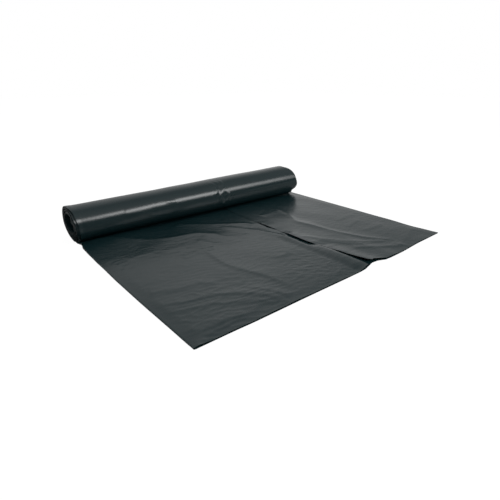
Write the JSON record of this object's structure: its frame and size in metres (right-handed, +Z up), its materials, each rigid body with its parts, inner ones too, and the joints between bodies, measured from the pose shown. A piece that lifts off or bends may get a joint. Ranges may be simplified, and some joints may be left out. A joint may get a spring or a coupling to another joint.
{
  "type": "bin bag roll",
  "caption": "Roll of large dark film bin bags, folded lengthwise, with the first bag unrolled flat in front of it; the roll's open bore takes a rod.",
  "frame": {"origin": "centre of the underside, on the surface that the roll and its unrolled bag lie on", "axes": "+X along the roll, -Y along the unrolled bag away from the roll, +Z up"},
  "size_m": [0.61, 0.4894, 0.075],
  "materials": {
    "film": "dark slate low-density polyethylene film, blown, with a soft gloss and fine wrinkles"
  },
  "bodies": {
    "root": {"bag_roll": "film"}
  },
  "joints": []
}
